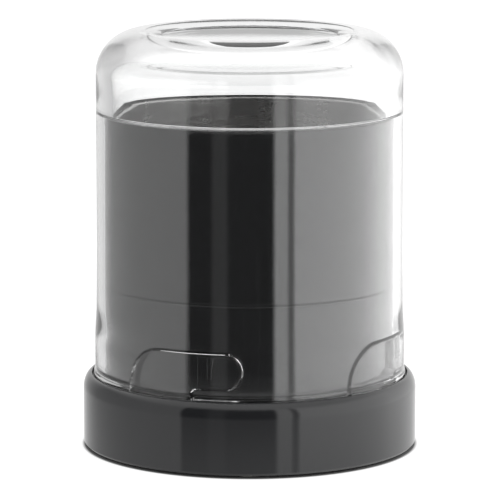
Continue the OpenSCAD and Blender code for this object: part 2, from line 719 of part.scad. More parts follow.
module mount_screws() color([0.6, 0.6, 0.62])
    spread(3, 90) translate([mount_pcd_r, 0, upper_z - 1.4]) screw(floor_z + 1.3 - upper_z + 1.4);

// ---- wiring ----

module terminal_block() color([0.88, 0.87, 0.82])
    translate([-24, 24, bay_z]) difference() {
        cube([16, 9, 7.5]);
        for (i = [0, 1]) translate([4 + 8 * i, -1, 3.6]) rotate([-90, 0, 0]) cylinder(h = 11, r = 1.5);
        for (i = [0, 1]) translate([4 + 8 * i, 4.5, 3.6]) cylinder(h = 5, r = 1.7);
    }

module noise_capacitor() color([0.85, 0.75, 0.25])
    translate([10, 24, bay_z]) cube([15, 7, 9]);

module thermal_fuse() color([0.75, 0.75, 0.7])
    translate([stator_w / 2 + 1.75, -5, core_z + core_h / 2]) rotate([-90, 0, 0]) cylinder(h = 10, r = 1.7);

module lead_wires() color([0.15, 0.3, 0.7]) {
    z = bay_z + 3.6;
    jacket_y = clamp_at - 4;
    wire([-20, 33.2, z], [-20, 36.4, z], [-10, jacket_y + 0.2, inlet_z + 1.2], [-1.2, jacket_y, inlet_z + 0.8]);
    wire([-12, 33.2, z], [-12, 35.6, z - 0.5], [-6, jacket_y - 1.4, z - 1], [1.2, jacket_y, inlet_z - 0.8]);
    wire([-20, 23.8, z], [-20, 14, z], [-34, 2, brush_z], [-comm_r - 15.8, 0, brush_z]);
}

base_housing();
cup_housing();
motor_carrier();
bottom_plate();
rubber_feet();
plate_screws();
body_screws();
cord_inlet_bush();
cord_clamp();
clamp_screws();
start_ring();
start_plunger();
switch_case();
switch_button();
clear_cover();
grinding_cup();
shaft_seal();
blade();
blade_hub();
blade_nut();
drive_shaft();
upper_bearing();
lower_bearing();
rotor_core();
rotor_windings();
commutator();
cooling_fan();
stator_core();
field_coils();
upper_bracket();
lower_bracket();
through_bolts();
brush_holders();
carbon_brushes();
brush_springs();
rubber_mounts();
mount_screws();
terminal_block();
noise_capacitor();
thermal_fuse();
lead_wires();
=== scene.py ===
# %% [markdown]
# # A blade grinder with a clear twist-lock cover
# The grinder is a dark gloss drum with a steel cup let into its top, under a thick clear cover.
# The CAD model already fixes every size, joint and mount, so Blender is here for the looks. It
# loads that model as a frame, keeps its corner box, and dresses each piece.

# %% Load the frame
import math

import bmesh
import bpy
import numpy as np
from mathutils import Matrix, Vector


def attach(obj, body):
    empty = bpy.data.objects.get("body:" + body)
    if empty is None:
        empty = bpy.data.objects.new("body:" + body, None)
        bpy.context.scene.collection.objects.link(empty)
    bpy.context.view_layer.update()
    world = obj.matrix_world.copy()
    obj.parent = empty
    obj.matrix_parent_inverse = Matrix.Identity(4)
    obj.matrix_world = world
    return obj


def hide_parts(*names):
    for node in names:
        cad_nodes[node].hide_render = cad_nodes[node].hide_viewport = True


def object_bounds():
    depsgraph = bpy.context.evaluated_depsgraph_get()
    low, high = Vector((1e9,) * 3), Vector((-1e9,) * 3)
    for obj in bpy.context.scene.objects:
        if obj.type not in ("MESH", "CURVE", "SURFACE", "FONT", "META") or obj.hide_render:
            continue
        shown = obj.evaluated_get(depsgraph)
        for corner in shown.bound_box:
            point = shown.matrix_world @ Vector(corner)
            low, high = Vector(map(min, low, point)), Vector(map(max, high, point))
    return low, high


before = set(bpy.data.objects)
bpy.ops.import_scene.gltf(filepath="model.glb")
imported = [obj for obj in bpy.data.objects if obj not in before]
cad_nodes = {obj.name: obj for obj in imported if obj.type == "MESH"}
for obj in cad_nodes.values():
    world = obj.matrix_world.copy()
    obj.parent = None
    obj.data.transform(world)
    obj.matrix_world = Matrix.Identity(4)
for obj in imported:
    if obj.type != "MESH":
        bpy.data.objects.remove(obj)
cad_low, cad_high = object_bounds()
print("CAD nodes", len(cad_nodes), "box", [round(v, 4) for v in (*cad_low, *cad_high)])

# %% [markdown]
# ## Camera
# A small product is best seen from about a metre with a long lens, a little above the table, so
# that its walls stay nearly upright. The tilt is small, and the lens fills the frame with the
# grinder. The camera comes first, because everything after it is judged through it.

# %% Camera
CAMERA_TILT = 0.165

camera_data = bpy.data.cameras.new("studio_camera")
camera_data.lens = 251.08
camera_data.sensor_width = 36.0
camera_data.shift_x = 0.0008
camera_data.clip_start = 0.05
camera = bpy.data.objects.new("studio_camera", camera_data)
camera.location = (0.0, -1.030758, 0.230263)
camera.rotation_euler = (math.pi / 2 - CAMERA_TILT, 0.0, 0.0)
bpy.context.scene.collection.objects.link(camera)
bpy.context.scene.camera = camera
bpy.context.scene.view_settings.view_transform = "Standard"
print("camera", round(math.degrees(CAMERA_TILT), 1), "degrees down")

# %% [markdown]
# ## Node helpers
# Materials are graphs of nodes. Three short helpers keep each graph readable: one adds a node
# with its settings, one adds a Math node, and one starts a reusable group with named sockets.

# %% Helpers for node graphs
def add_node(tree, kind, values=None, **settings):
    """A node of that kind in the tree, with its settings and its unlinked inputs filled in."""
    node = tree.nodes.new(kind)
    for name, value in settings.items():
        setattr(node, name, value)
    for socket, value in (values or {}).items():
        node.inputs[socket].default_value = value
    return node


def math_node(tree, operation, first, second=0.0, clamp=False):
    """The output of a Math node; each operand is a number or another node's output."""
    node = add_node(tree, "ShaderNodeMath", operation=operation, use_clamp=clamp)
    for slot_number, operand in enumerate((first, second)):
        if isinstance(operand, bpy.types.NodeSocket):
            tree.links.new(operand, node.inputs[slot_number])
        else:
            node.inputs[slot_number].default_value = operand
    return node.outputs[0]


def new_group(name, inputs, outputs):
    """An empty shader group; inputs are (title, socket kind, default), outputs (title, kind)."""
    group = bpy.data.node_groups.new(name, "ShaderNodeTree")
    for title, kind, default in inputs:
        socket = group.interface.new_socket(title, in_out="INPUT", socket_type=kind)
        socket.default_value = default
    for title, kind in outputs:
        group.interface.new_socket(title, in_out="OUTPUT", socket_type=kind)
    entry = group.nodes.new("NodeGroupInput")
    leave = group.nodes.new("NodeGroupOutput")
    return group, entry.outputs, leave.inputs


FLOAT = "NodeSocketFloat"
COLOUR = "NodeSocketColor"
VECTOR = "NodeSocketVector"
print("helpers ready")

# %% [markdown]
# ## Light
# Gloss plastic is seen almost only by what it mirrors. A product photographer puts the object on
# a white sweep and stands bright boards at its sides, with a gap in front for the camera. The
# gap mirrors as a dark band down the middle of the drum, with a narrow strip light at its edge.
# The world shader is that ring of boards: its brightness is a curve over the compass angle, and
# an even soft light overhead. What the camera sees directly, or through the clear cover, is the
# plain white sweep. Glossy Depth tells a mirrored ray from a straight one.

# %% World of soft boards
BOARDS = (
    (-180, 0.90), (-160, 0.80), (-130, 0.52), (-100, 0.72), (-77, 0.85), (-49, 0.88),
    (-46.5, 0.07), (-30, 0.07), (-27, 0.2), (-18, 0.2), (-15, 0.07), (15, 0.07),
    (17.5, 0.12), (20, 1.45), (28.5, 1.45), (30, 0.5), (33, 0.5), (35, 1.8), (60, 1.9),
    (114, 2.1), (150, 1.2), (180, 0.90),
)
BOARD_PEAK = 3.0
OVERHEAD_GLOW = 1.25
OVERHEAD_FROM = 0.42
OVERHEAD_FULL = 0.75
SWEEP_GLOW = 1.02

world = bpy.data.worlds.new("studio_world")
bpy.context.scene.world = world
world.use_nodes = True
sky = world.node_tree
sky.nodes.clear()
toward = add_node(sky, "ShaderNodeSeparateXYZ")
sky.links.new(add_node(sky, "ShaderNodeTexCoord").outputs["Generated"], toward.inputs[0])
flipped = math_node(sky, "MULTIPLY", toward.outputs["Y"], -1.0)
compass = math_node(sky, "ARCTAN2", toward.outputs["X"], flipped)
turn_share = math_node(sky, "MULTIPLY_ADD", compass, 1 / (2 * math.pi))
turn_share.node.inputs[2].default_value = 0.5
boards = add_node(sky, "ShaderNodeValToRGB")
ramp = boards.color_ramp
while len(ramp.elements) < len(BOARDS):
    ramp.elements.new(0.5)
for stop, (angle, glow) in zip(ramp.elements, BOARDS):
    stop.position = (angle + 180) / 360
for stop, (angle, glow) in zip(ramp.elements, BOARDS):
    stop.color = (glow / BOARD_PEAK, glow / BOARD_PEAK, glow / BOARD_PEAK, 1.0)
sky.links.new(turn_share, boards.inputs["Fac"])
board_glow = math_node(sky, "MULTIPLY", boards.outputs["Color"], BOARD_PEAK)
high = add_node(sky, "ShaderNodeMapRange", {"From Min": OVERHEAD_FROM, "From Max": OVERHEAD_FULL},
                interpolation_type="SMOOTHSTEP")
sky.links.new(toward.outputs["Z"], high.inputs["Value"])
glow_mix = add_node(sky, "ShaderNodeMix", {"B": OVERHEAD_GLOW}, data_type="FLOAT")
sky.links.new(high.outputs["Result"], glow_mix.inputs["Factor"])
sky.links.new(board_glow, glow_mix.inputs["A"])
path = add_node(sky, "ShaderNodeLightPath")
bounced = math_node(sky, "ADD", path.outputs["Glossy Depth"], path.outputs["Diffuse Depth"])
scattered = math_node(sky, "GREATER_THAN", bounced, 0.5)
sweep = add_node(sky, "ShaderNodeBackground", {"Color": (1, 1, 1, 1), "Strength": SWEEP_GLOW})
soft_boards = add_node(sky, "ShaderNodeBackground", {"Color": (1, 1, 1, 1)})
sky.links.new(glow_mix.outputs["Result"], soft_boards.inputs["Strength"])
either = add_node(sky, "ShaderNodeMixShader")
sky.links.new(scattered, either.inputs["Fac"])
sky.links.new(sweep.outputs[0], either.inputs[1])
sky.links.new(soft_boards.outputs[0], either.inputs[2])
sky.links.new(either.outputs[0], add_node(sky, "ShaderNodeOutputWorld").inputs["Surface"])
print("boards", len(BOARDS), "brightest", max(glow for angle, glow in BOARDS))

# %% [markdown]
# ## Floor
# The floor is a plain pale sweep, lit from below like a photographer's table, so the pieces
# throw only a faint shadow on it. Its glow is switched off in a disc the size of the base: a
# painted shadow that keeps it dark under the base. Most mirrored rays pass through it and find
# the boards, as they would on a small table: only close to the base does the gloss pick up some of
# the floor.

# %% Floor
FLOOR_SIZE = 3.0
FLOOR_GLOW = 0.86
base_edge = cad_high[0]
corner = FLOOR_SIZE / 2
floor_mesh = bpy.data.meshes.new("studio_floor")
floor_mesh.from_pydata(
    [(-corner, -corner, 0), (corner, -corner, 0), (corner, corner, 0), (-corner, corner, 0)],
    [], [(0, 1, 2, 3)],
)
studio_floor = bpy.data.objects.new("studio_floor", floor_mesh)
bpy.context.scene.collection.objects.link(studio_floor)
floor_material = bpy.data.materials.new("pale_sweep")
floor_material.use_nodes = True
floor_tree = floor_material.node_tree
floor_tree.nodes.clear()
lit = add_node(floor_tree, "ShaderNodeEmission", {"Color": (1, 1, 1, 1)})
matt = add_node(floor_tree, "ShaderNodeBsdfDiffuse", {"Color": (0.25, 0.25, 0.25, 1)})
both = add_node(floor_tree, "ShaderNodeAddShader")
clear = add_node(floor_tree, "ShaderNodeBsdfTransparent")
choose = add_node(floor_tree, "ShaderNodeMixShader")
floor_path = add_node(floor_tree, "ShaderNodeLightPath")
floor_tree.links.new(lit.outputs[0], both.inputs[0])
floor_tree.links.new(matt.outputs[0], both.inputs[1])
mirrored = math_node(floor_tree, "GREATER_THAN", floor_path.outputs["Glossy Depth"], 0.5)
away = add_node(floor_tree, "ShaderNodeVectorMath", operation="LENGTH")
floor_place = add_node(floor_tree, "ShaderNodeTexCoord").outputs["Object"]
floor_tree.links.new(floor_place, away.inputs[0])
# The floor's glow is zero inside the base's radius and rises just outside it: a painted shadow
# under the base.
floor_glow_with_painted_shadow = add_node(floor_tree, "ShaderNodeMapRange", {
    "From Min": base_edge - 0.0003, "From Max": base_edge + 0.0007, "To Max": FLOOR_GLOW})
floor_tree.links.new(away.outputs["Value"], floor_glow_with_painted_shadow.inputs["Value"])
floor_tree.links.new(floor_glow_with_painted_shadow.outputs["Result"], lit.inputs["Strength"])
fade = add_node(floor_tree, "ShaderNodeMapRange", {
    "From Min": base_edge + 0.01, "From Max": base_edge + 0.13, "To Min": 0.5, "To Max": 1.0})
floor_tree.links.new(away.outputs["Value"], fade.inputs["Value"])
mirrored = math_node(floor_tree, "MULTIPLY", mirrored, fade.outputs["Result"])
floor_tree.links.new(mirrored, choose.inputs["Fac"])
floor_tree.links.new(both.outputs[0], choose.inputs[1])
floor_tree.links.new(clear.outputs[0], choose.inputs[2])
floor_out = add_node(floor_tree, "ShaderNodeOutputMaterial")
floor_tree.links.new(choose.outputs[0], floor_out.inputs["Surface"])
floor_mesh.materials.append(floor_material)
print("floor", FLOOR_SIZE, "m")

# %% [markdown]
# ## Effects that several finishes share: the moulded skin
# Real finishes are never even. Each effect here is one node group with its own named inputs, so
# every material can use it at its own scale. A group only puts out colours, masks, values and
# normals. The first is the skin of moulded plastic: it has a slow mottle where the melt flowed,
# and a fine grain copied from the tool's surface. Two noises of different scale give both.

# %% Group: moulded skin
def make_moulded_skin():
    """Two colours mixed by a slow noise, and a fine noise for the height and the roughness."""
    group, given, out = new_group(
        "moulded_skin",
        [("Dark", COLOUR, (0.02, 0.02, 0.02, 1)), ("Light", COLOUR, (0.03, 0.03, 0.03, 1)),
         ("Mottle Scale", FLOAT, 60.0), ("Grain Scale", FLOAT, 2500.0),
         ("Roughness", FLOAT, 0.4), ("Roughness Spread", FLOAT, 0.1)],
        [("Colour", COLOUR), ("Roughness", FLOAT), ("Height", FLOAT)])
    place = add_node(group, "ShaderNodeTexCoord").outputs["Object"]
    mottle = add_node(group, "ShaderNodeTexNoise", {"Detail": 3.0})
    grain = add_node(group, "ShaderNodeTexNoise", {"Detail": 2.0})
    for noise, scale in ((mottle, "Mottle Scale"), (grain, "Grain Scale")):
        group.links.new(place, noise.inputs["Vector"])
        group.links.new(given[scale], noise.inputs["Scale"])
    blend = add_node(group, "ShaderNodeMix", data_type="RGBA")
    group.links.new(mottle.outputs["Fac"], blend.inputs["Factor"])
    group.links.new(given["Dark"], blend.inputs["A"])
    group.links.new(given["Light"], blend.inputs["B"])
    middle = math_node(group, "SUBTRACT", mottle.outputs["Fac"], 0.5)
    swing = math_node(group, "MULTIPLY", middle, given["Roughness Spread"])
    group.links.new(blend.outputs["Result"], out["Colour"])
    group.links.new(math_node(group, "ADD", given["Roughness"], swing), out["Roughness"])
    group.links.new(grain.outputs["Fac"], out["Height"])
    return group


MOULDED_SKIN = make_moulded_skin()
print(MOULDED_SKIN.name, len(MOULDED_SKIN.nodes), "nodes")

# %% [markdown]
# ## Turned rings
# A lathe or a spinning tool leaves rings round the axis. An image could not follow every
# diameter, so a noise is read over radius and height instead, stretched round the turn.

# %% Group: turned rings
def make_turned_rings():
    """Noise over (radius, height) with a little of the direction: rings that fade along a turn."""
    group, given, out = new_group(
        "turned_rings",
        [("Pitch", FLOAT, 0.0004), ("Drift", FLOAT, 1.5)],
        [("Height", FLOAT), ("Shade", FLOAT)])
    place = add_node(group, "ShaderNodeSeparateXYZ")
    coords = add_node(group, "ShaderNodeTexCoord").outputs["Object"]
    group.links.new(coords, place.inputs[0])
    flat = add_node(group, "ShaderNodeCombineXYZ")
    group.links.new(place.outputs["X"], flat.inputs["X"])
    group.links.new(place.outputs["Y"], flat.inputs["Y"])
    length = add_node(group, "ShaderNodeVectorMath", operation="LENGTH")
    group.links.new(flat.outputs[0], length.inputs[0])
    radius = math_node(group, "MAXIMUM", length.outputs["Value"], 0.0001)
    rings = []
    for axis, along in (("X", radius), ("Y", place.outputs["Z"])):
        share = math_node(group, "DIVIDE", place.outputs[axis], radius)
        drift = math_node(group, "MULTIPLY", share, given["Drift"])
        pitch = math_node(group, "DIVIDE", along, given["Pitch"])
        rings.append(math_node(group, "ADD", pitch, drift))
    lathe = add_node(group, "ShaderNodeCombineXYZ")
    group.links.new(rings[0], lathe.inputs["X"])
    group.links.new(rings[1], lathe.inputs["Y"])
    fine = add_node(group, "ShaderNodeTexNoise", {"Scale": 1.0, "Detail": 3.0})
    broad = add_node(group, "ShaderNodeTexNoise", {"Scale": 0.12, "Detail": 2.0})
    for noise in (fine, broad):
        group.links.new(lathe.outputs[0], noise.inputs["Vector"])
    group.links.new(fine.outputs["Fac"], out["Height"])
    group.links.new(broad.outputs["Fac"], out["Shade"])
    return group


TURNED_RINGS = make_turned_rings()
print(TURNED_RINGS.name, len(TURNED_RINGS.nodes), "nodes")

# %% [markdown]
# ## Soft edges
# No real edge is sharp: it is rounded, rubbed bright, and catches the light. Rounding each edge
# in the mesh would change the CAD pieces, so the shader bends the normal near an edge.

# %% Group: soft edges
def make_soft_edges():
    """The Bevel normal rounds an edge; where it leaves the true normal, the edge is worn."""
    group, given, out = new_group(
        "soft_edges",
        [("Radius", FLOAT, 0.0003)],
        [("Normal", VECTOR), ("Wear", FLOAT)])
    bevel = add_node(group, "ShaderNodeBevel", samples=4)
    group.links.new(given["Radius"], bevel.inputs["Radius"])
    true_normal = add_node(group, "ShaderNodeNewGeometry").outputs["Normal"]
    turn = add_node(group, "ShaderNodeVectorMath", operation="DOT_PRODUCT")
    group.links.new(bevel.outputs["Normal"], turn.inputs[0])
    group.links.new(true_normal, turn.inputs[1])
    away = math_node(group, "SUBTRACT", 1.0, turn.outputs["Value"])
    group.links.new(bevel.outputs["Normal"], out["Normal"])
    group.links.new(math_node(group, "MULTIPLY", away, 6.0, clamp=True), out["Wear"])
    return group


SOFT_EDGES = make_soft_edges()
print(SOFT_EDGES.name, len(SOFT_EDGES.nodes), "nodes")

# %% [markdown]
# ## Settled dust
# A little dust lies on faces that look up. It could be scattered as grains, but at this size a
# mask is enough: the upward part of the normal, broken into specks by a noise.

# %% Group: settled dust
def make_settled_dust():
    """Dust lies where the surface faces up, in specks: the normal's upward part times a noise."""
    group, given, out = new_group(
        "settled_dust",
        [("Amount", FLOAT, 0.1), ("Speck Scale", FLOAT, 900.0)],
        [("Mask", FLOAT)])
    place = add_node(group, "ShaderNodeTexCoord").outputs["Object"]
    specks = add_node(group, "ShaderNodeTexNoise", {"Detail": 4.0})
    group.links.new(place, specks.inputs["Vector"])
    group.links.new(given["Speck Scale"], specks.inputs["Scale"])
    facing = add_node(group, "ShaderNodeSeparateXYZ")
    group.links.new(add_node(group, "ShaderNodeNewGeometry").outputs["Normal"], facing.inputs[0])
    upward = math_node(group, "MAXIMUM", facing.outputs["Z"], 0.0)
    lying = math_node(group, "MULTIPLY", upward, given["Amount"])
    chosen = math_node(group, "SUBTRACT", specks.outputs["Fac"], 0.45)
    spread = math_node(group, "MULTIPLY", chosen, 4.0, clamp=True)
    group.links.new(math_node(group, "MULTIPLY", lying, spread), out["Mask"])
    return group


SETTLED_DUST = make_settled_dust()
print(SETTLED_DUST.name, len(SETTLED_DUST.nodes), "nodes")

# %% [markdown]
# ## Hair scratches
# Wiping leaves fine scratches in a few slanted directions. Noise that is stretched along one
# direction makes such lines, and only its highest ridges are kept.

# %% Group: hair scratches
def make_hair_scratches():
    """Two sets of thin slanted lines: noise stretched along a tilt, kept where it is highest."""
    group, given, out = new_group(
        "hair_scratches",
        [("Scale", FLOAT, 300.0), ("Amount", FLOAT, 0.5)],
        [("Mask", FLOAT)])
    place = add_node(group, "ShaderNodeTexCoord").outputs["Object"]
    found = []
    for tilt in (0.5, -0.9):
        turned = add_node(group, "ShaderNodeMapping", {
            "Rotation": (tilt, tilt * 0.7, tilt * 1.3), "Scale": (1.0, 1.0, 0.03)})
        lines = add_node(group, "ShaderNodeTexNoise", {"Detail": 2.0})
        group.links.new(place, turned.inputs["Vector"])
        group.links.new(turned.outputs[0], lines.inputs["Vector"])
        group.links.new(given["Scale"], lines.inputs["Scale"])
        ridge = math_node(group, "SUBTRACT", lines.outputs["Fac"], 0.62)
        found.append(math_node(group, "MULTIPLY", ridge, 9.0, clamp=True))
    most = math_node(group, "MAXIMUM", found[0], found[1])
    group.links.new(math_node(group, "MULTIPLY", most, given["Amount"]), out["Mask"])
    return group


HAIR_SCRATCHES = make_hair_scratches()
print(HAIR_SCRATCHES.name, len(HAIR_SCRATCHES.nodes), "nodes")

# %% [markdown]
# ## Two kinds of finish
# Most pieces are plastic or metal that was moulded, turned or wound. Two makers cover them: one
# for moulded skins and one for metals. Each takes its own colours and scales, and adds the
# shared effects: rounded edges, hair scratches, rings and dust.

# %% Makers of finishes
def start_material(name):
    """A new node material with its tree and its Principled shader."""
    material = bpy.data.materials.new(name)
    material.use_nodes = True
    tree = material.node_tree
    return material, tree, tree.nodes["Principled BSDF"]


def use_group(tree, group, **values):
    """The group placed in the tree, with its inputs set; _ in a keyword stands for a space."""
    node = add_node(tree, "ShaderNodeGroup", node_tree=group)
    for title, value in values.items():
        node.inputs[title.replace("_", " ")].default_value = value
    return node


def blend_colour(tree, factor, first, second):
    """Mix of two colours by a factor output; each colour is a tuple or an output."""
    mix = add_node(tree, "ShaderNodeMix", data_type="RGBA")
    tree.links.new(factor, mix.inputs["Factor"])
    for title, colour in (("A", first), ("B", second)):
        if isinstance(colour, bpy.types.NodeSocket):
            tree.links.new(colour, mix.inputs[title])
        else:
            mix.inputs[title].default_value = colour
    return mix.outputs["Result"]


def add_bump(tree, height, distance, normal=None):
    """The normal of a bump of that height in metres."""
    bump = add_node(tree, "ShaderNodeBump", {"Strength": 1.0, "Distance": distance})
    tree.links.new(height, bump.inputs["Height"])
    if normal is not None:
        tree.links.new(normal, bump.inputs["Normal"])
    return bump.outputs["Normal"]


def grey(value):
    """That grey as an opaque colour."""
    return (value, value, value, 1.0)


DUST_COLOUR = (0.35, 0.34, 0.32, 1)


def moulded(name, dark, light, roughness=0.4, spread=0.15, mottle=60.0, grain=2500.0,
            bump=0.00001, wear=grey(0.1), edge=0.0003, dust=0.1, ior=1.5, scratches=0.15):
    """A plastic or rubber skin: mottled colour, tool grain, worn edges, scratches and dust."""
    material, tree, shader = start_material(name)
    skin = use_group(tree, MOULDED_SKIN, Dark=dark, Light=light, Mottle_Scale=mottle,
                     Grain_Scale=grain, Roughness=roughness, Roughness_Spread=spread)
    edges = use_group(tree, SOFT_EDGES, Radius=edge)
    specks = use_group(tree, SETTLED_DUST, Amount=dust)
    lines = use_group(tree, HAIR_SCRATCHES, Amount=scratches)
    colour = blend_colour(tree, edges.outputs["Wear"], skin.outputs["Colour"], wear)
    colour = blend_colour(tree, specks.outputs["Mask"], colour, DUST_COLOUR)
    rough = math_node(tree, "ADD", skin.outputs["Roughness"], lines.outputs["Mask"])
    rough = math_node(tree, "ADD", rough, specks.outputs["Mask"], clamp=True)
    tree.links.new(colour, shader.inputs["Base Color"])
    tree.links.new(rough, shader.inputs["Roughness"])
    normal = add_bump(tree, skin.outputs["Height"], bump, edges.outputs["Normal"])
    tree.links.new(normal, shader.inputs["Normal"])
    shader.inputs["IOR"].default_value = ior
    return material


def metal(name, dark, light, roughness=0.3, spread=0.2, pitch=0.0004, drift=1.5, bump=0.000004,
          edge=0.0002, dust=0.0, scratches=0.1, anisotropic=0.0):
    """A turned or drawn metal: rings of tone and height, bright edges and hair scratches."""
    material, tree, shader = start_material(name)
    rings = use_group(tree, TURNED_RINGS, Pitch=pitch, Drift=drift)
    edges = use_group(tree, SOFT_EDGES, Radius=edge)
    specks = use_group(tree, SETTLED_DUST, Amount=dust)
    lines = use_group(tree, HAIR_SCRATCHES, Amount=scratches)
    rubbed = tuple(min(1.0, channel * 1.25) for channel in light[:3]) + (1,)
    colour = blend_colour(tree, rings.outputs["Shade"], dark, light)
    colour = blend_colour(tree, edges.outputs["Wear"], colour, rubbed)
    colour = blend_colour(tree, specks.outputs["Mask"], colour, DUST_COLOUR)
    middle = math_node(tree, "SUBTRACT", rings.outputs["Height"], 0.5)
    swing = math_node(tree, "MULTIPLY_ADD", middle, spread)
    swing.node.inputs[2].default_value = roughness
    rough = math_node(tree, "ADD", swing, lines.outputs["Mask"], clamp=True)
    tree.links.new(colour, shader.inputs["Base Color"])
    tree.links.new(rough, shader.inputs["Roughness"])
    normal = add_bump(tree, rings.outputs["Height"], bump, edges.outputs["Normal"])
    tree.links.new(normal, shader.inputs["Normal"])
    shader.inputs["Metallic"].default_value = 1.0
    shader.inputs["Anisotropic"].default_value = anisotropic
    shader.inputs["Anisotropic Rotation"].default_value = 0.25
    return material


print("makers ready")

# %% [markdown]
# ## Plastics and rubber
# The drum and the base are the same dark grey, moulded in a tool so well polished that they
# mirror. Hidden plastics are duller, and rubber is duller still. Only the numbers differ, so one
# maker serves them all.

# %% Finishes of plastic and rubber
finish = {}
finish["dark_gloss"] = moulded(
    "dark_gloss", (0.0100, 0.0104, 0.0115, 1), (0.0130, 0.0135, 0.0150, 1), roughness=0.05,
    spread=0.03, mottle=35.0, grain=900.0, bump=0.0000015, wear=grey(0.05), dust=0.02,
    scratches=0.03, ior=1.54)
finish["base_plastic"] = moulded(
    "base_plastic", grey(0.018), grey(0.030), roughness=0.42, grain=3500.0, wear=grey(0.08))
finish["switch_plastic"] = moulded(
    "switch_plastic", grey(0.010), grey(0.018), roughness=0.3, wear=grey(0.06))
finish["rubber"] = moulded(
    "rubber", grey(0.010), grey(0.020), roughness=0.75, grain=1800.0, bump=0.00003,
    wear=grey(0.05), dust=0.3)
finish["silicone"] = moulded(
    "silicone", (0.30, 0.06, 0.035, 1), (0.38, 0.09, 0.05, 1), roughness=0.5, dust=0.15,
    wear=(0.45, 0.15, 0.1, 1))
finish["button_red"] = moulded(
    "button_red", (0.55, 0.035, 0.02, 1), (0.68, 0.06, 0.03, 1), roughness=0.3,
    wear=(0.8, 0.25, 0.2, 1))
finish["natural_nylon"] = moulded(
    "natural_nylon", (0.62, 0.58, 0.48, 1), (0.76, 0.72, 0.62, 1), roughness=0.38, mottle=120.0,
    wear=(0.85, 0.82, 0.74, 1))
finish["capacitor_yellow"] = moulded(
    "capacitor_yellow", (0.72, 0.50, 0.06, 1), (0.82, 0.60, 0.10, 1), roughness=0.22,
    edge=0.0008, wear=(0.85, 0.68, 0.25, 1), bump=0.00003, grain=700.0)
finish["fuse_body"] = moulded(
    "fuse_body", (0.55, 0.52, 0.45, 1), (0.68, 0.65, 0.56, 1), roughness=0.5)
finish["wire_blue"] = moulded(
    "wire_blue", (0.02, 0.06, 0.30, 1), (0.03, 0.09, 0.42, 1), roughness=0.35, edge=0.0002)
finish["carbon"] = moulded(
    "carbon", grey(0.008), grey(0.035), roughness=0.6, mottle=1500.0, grain=5000.0,
    bump=0.00002, wear=grey(0.12))
print(len(finish), "finishes")

# %% [markdown]
# ## Metals
# The cup is spun from thin stainless sheet, so its rings run round it and stretch its highlights.
# Screws and the shaft are turned steel. The core is stacked sheet and the windings are enamelled
# wire, and the same rings, pitched closer and cut deeper, serve as the sheets and the turns.

# %% Finishes of metal
finish["cup_steel"] = metal(
    "cup_steel", (0.24, 0.238, 0.235, 1), (0.42, 0.415, 0.41, 1), roughness=0.24, spread=0.2,
    pitch=0.00045, drift=0.8, bump=0.0000015, scratches=0.03, dust=0.02, anisotropic=0.85)
finish["blade_steel"] = metal(
    "blade_steel", grey(0.55), grey(0.68), roughness=0.18, pitch=0.0006, drift=8.0,
    bump=0.000003)
finish["screw_steel"] = metal(
    "screw_steel", (0.50, 0.50, 0.46, 1), (0.66, 0.66, 0.62, 1), roughness=0.32)
finish["shaft_steel"] = metal(
    "shaft_steel", grey(0.5), grey(0.62), roughness=0.2, pitch=0.0003)
finish["core_steel"] = metal(
    "core_steel", (0.16, 0.165, 0.175, 1), (0.34, 0.345, 0.36, 1), roughness=0.42,
    pitch=0.00025, drift=0.1, bump=0.00004)
finish["copper"] = metal(
    "copper", (0.40, 0.10, 0.035, 1), (0.72, 0.27, 0.11, 1), roughness=0.28, pitch=0.00022,
    drift=0.4, bump=0.00006)
finish["bronze"] = metal(
    "bronze", (0.40, 0.26, 0.11, 1), (0.55, 0.38, 0.18, 1), roughness=0.42, bump=0.00001)
finish["brass"] = metal(
    "brass", (0.55, 0.40, 0.12, 1), (0.72, 0.54, 0.20, 1), roughness=0.25)
finish["bracket_metal"] = metal(
    "bracket_metal", (0.42, 0.43, 0.44, 1), (0.58, 0.59, 0.60, 1), roughness=0.38,
    pitch=0.002, drift=6.0)
print(len(finish), "finishes")

# %% [markdown]
# ## Clear plastic
# The cover is one thick injection moulding in clear plastic. Light bends at every face, so its
# wall looks grey where it is seen edge-on. It has no colour of its own, but long flow waves and
# a few hair scratches move the highlights.

# %% Finish: clear plastic
def make_clear_plastic():
    """Refracting plastic: a slow wave for the flow of the melt, and scratches that dull it."""
    material, tree, shader = start_material("clear_cover")
    place = add_node(tree, "ShaderNodeTexCoord").outputs["Object"]
    wave = add_node(tree, "ShaderNodeTexNoise", {"Scale": 45.0, "Detail": 1.0})
    tree.links.new(place, wave.inputs["Vector"])
    lines = use_group(tree, HAIR_SCRATCHES, Amount=0.06, Scale=500.0)
    tree.links.new(add_bump(tree, wave.outputs["Fac"], 0.00002), shader.inputs["Normal"])
    tree.links.new(lines.outputs["Mask"], shader.inputs["Roughness"])
    tint = blend_colour(tree, wave.outputs["Fac"], (0.975, 0.98, 0.98, 1), (0.99, 0.99, 0.99, 1))
    tree.links.new(tint, shader.inputs["Base Color"])
    shader.inputs["Transmission Weight"].default_value = 1.0
    shader.inputs["IOR"].default_value = 1.55
    return material


finish["clear_cover"] = make_clear_plastic()
print("clear plastic ready")

# %% [markdown]
# ## Pieces that come from the CAD model
# Screws, bearings, windings and the other working pieces keep the CAD model's own shape, and
# take the finish that the record names for them.

# %% Dress the CAD pieces
for node_name, cad_piece in sorted(cad_nodes.items()):
    slot_name = cad_piece.data.materials[0].name
    cad_piece.data.materials.clear()
    cad_piece.data.materials.append(finish[slot_name])
print("dressed", len(cad_nodes))

# %% [markdown]
# ## Surfaces from profiles
# Almost every visible piece here is turned: a profile of radius and height, carried round the
# upright axis. The grid has one row for each profile point and one column for each azimuth, so
# a radius may also change along a row, and that is how the cover's pockets are made. Azimuths
# are counted in degrees from the front, towards +X, and sizes are in millimetres.

# %% Helpers for turned pieces
MM = 0.001


